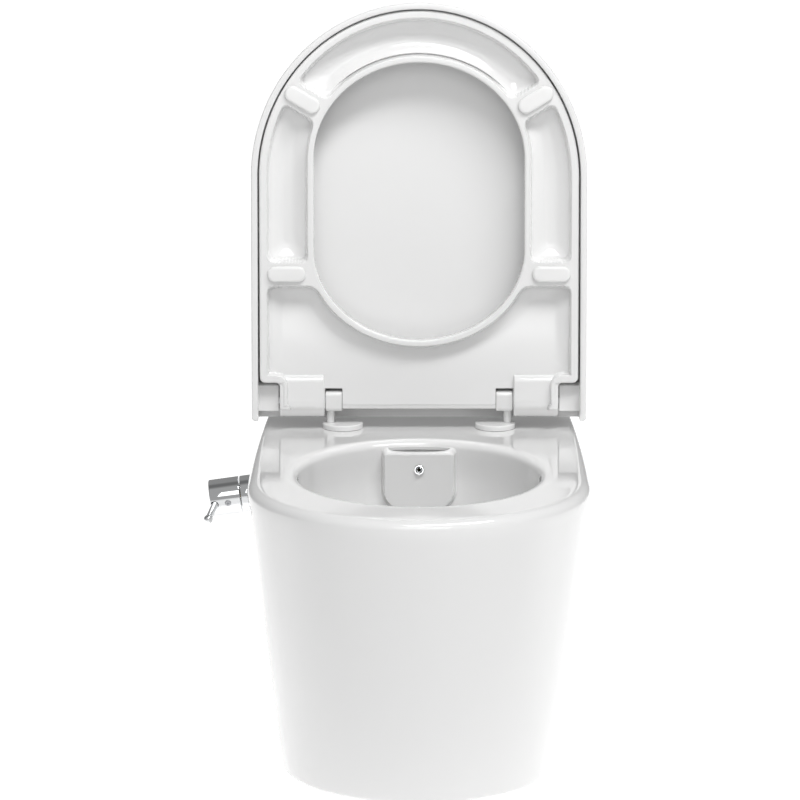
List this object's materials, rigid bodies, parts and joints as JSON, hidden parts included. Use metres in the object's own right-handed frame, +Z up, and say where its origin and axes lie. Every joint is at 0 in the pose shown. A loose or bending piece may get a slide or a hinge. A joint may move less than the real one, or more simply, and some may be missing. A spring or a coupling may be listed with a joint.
{
  "type": "wall-hung bidet toilet",
  "caption": "Wall-hung rimless ceramic toilet with a nozzle pod in the basin, a side mixing valve with a pin lever, and a soft-close seat under a wrap-over lid, hinged along the same line.",
  "frame": {"origin": "on the wall face of the ceramic, midway between the two fixing studs", "axes": "+X to the right of a person facing the toilet, -Y out of the wall towards the front, +Z up"},
  "size_m": [0.4065, 0.5112, 0.7723],
  "materials": {
    "glazed_ceramic": "high-gloss white glaze",
    "gloss_seat_plastic": "moulded gloss white",
    "chrome": "mirror-polished plating",
    "brass": "machined, uncoated",
    "steel": "satin stainless",
    "white_plastic": "semi-gloss white",
    "grey_plastic": "moulded matt",
    "black_rubber": "matt",
    "soft_white_rubber": "satin translucent white"
  },
  "bodies": {
    "bowl": {"bowl_ceramic": "glazed_ceramic", "wall_bracket_left": "steel", "bracket_screw_left": "steel", "wall_bracket_right": "steel", "bracket_screw_right": "steel", "nozzle_body": "chrome", "nozzle_gasket": "black_rubber", "nozzle_nut": "brass", "nozzle_elbow": "brass", "feed_tube": "grey_plastic", "mixer_body": "brass", "mixer_gasket": "black_rubber", "mixer_nut": "brass", "mixer_sleeve": "chrome", "mixer_cartridge": "grey_plastic", "hinge_disc_left": "white_plastic", "hinge_post_left": "white_plastic", "hinge_pin_left": "steel", "hinge_bolt_left": "steel", "hinge_bushing_left": "black_rubber", "hinge_washer_left": "steel", "hinge_wingnut_left": "white_plastic", "hinge_disc_right": "white_plastic", "hinge_post_right": "white_plastic", "hinge_pin_right": "steel", "hinge_bolt_right": "steel", "hinge_bushing_right": "black_rubber", "hinge_washer_right": "steel", "hinge_wingnut_right": "white_plastic"},
    "mixer_handle": {"mixer_handle": "chrome", "lever_pin": "chrome", "grip_screw": "steel", "mixer_stem": "brass"},
    "lid": {"lid_shell": "gloss_seat_plastic", "lid_buffer_left": "soft_white_rubber", "lid_buffer_right": "soft_white_rubber", "lid_damper_right": "grey_plastic", "lid_bush_left": "grey_plastic"},
    "seat": {"seat_ring": "gloss_seat_plastic", "seat_bumper_rear_right": "soft_white_rubber", "seat_bumper_rear_left": "soft_white_rubber", "seat_bumper_front_right": "soft_white_rubber", "seat_bumper_front_left": "soft_white_rubber", "seat_damper_left": "grey_plastic", "seat_bush_right": "grey_plastic"},
    "nozzle_tip": {"nozzle_tip": "chrome"},
    "side_plug_left": {"side_plug_left": "white_plastic"},
    "side_plug_right": {"side_plug_right": "white_plastic"}
  },
  "joints": [
    {"name": "lid_hinge", "type": "hinge", "parent": "bowl", "child": "lid", "pos_m": [0, -0.096, 0.1105], "axis": [-1, 0, 0], "range_deg": [-97, 0]},
    {"name": "seat_hinge", "type": "hinge", "parent": "lid", "child": "seat", "pos_m": [0, -0.096, 0.1105], "axis": [1, 0, 0], "range_deg": [0, 97]},
    {"name": "mixer_turn", "type": "hinge", "parent": "bowl", "child": "mixer_handle", "pos_m": [-0.171, -0.19, 0.0313], "axis": [-0.9903, 0, -0.1392], "range_deg": [0, 95]},
    {"name": "nozzle_swivel", "type": "hinge", "parent": "bowl", "child": "nozzle_tip", "pos_m": [0, -0.18, 0.0525], "axis": [1, 0, 0], "range_deg": [-12, 12]},
    {"name": "side_plug_left_pull", "type": "slide", "parent": "bowl", "child": "side_plug_left", "axis": [-1, 0, 0], "range_m": [0, 0.022]},
    {"name": "side_plug_right_pull", "type": "slide", "parent": "bowl", "child": "side_plug_right", "axis": [1, 0, 0], "range_m": [0, 0.022]}
  ]
}
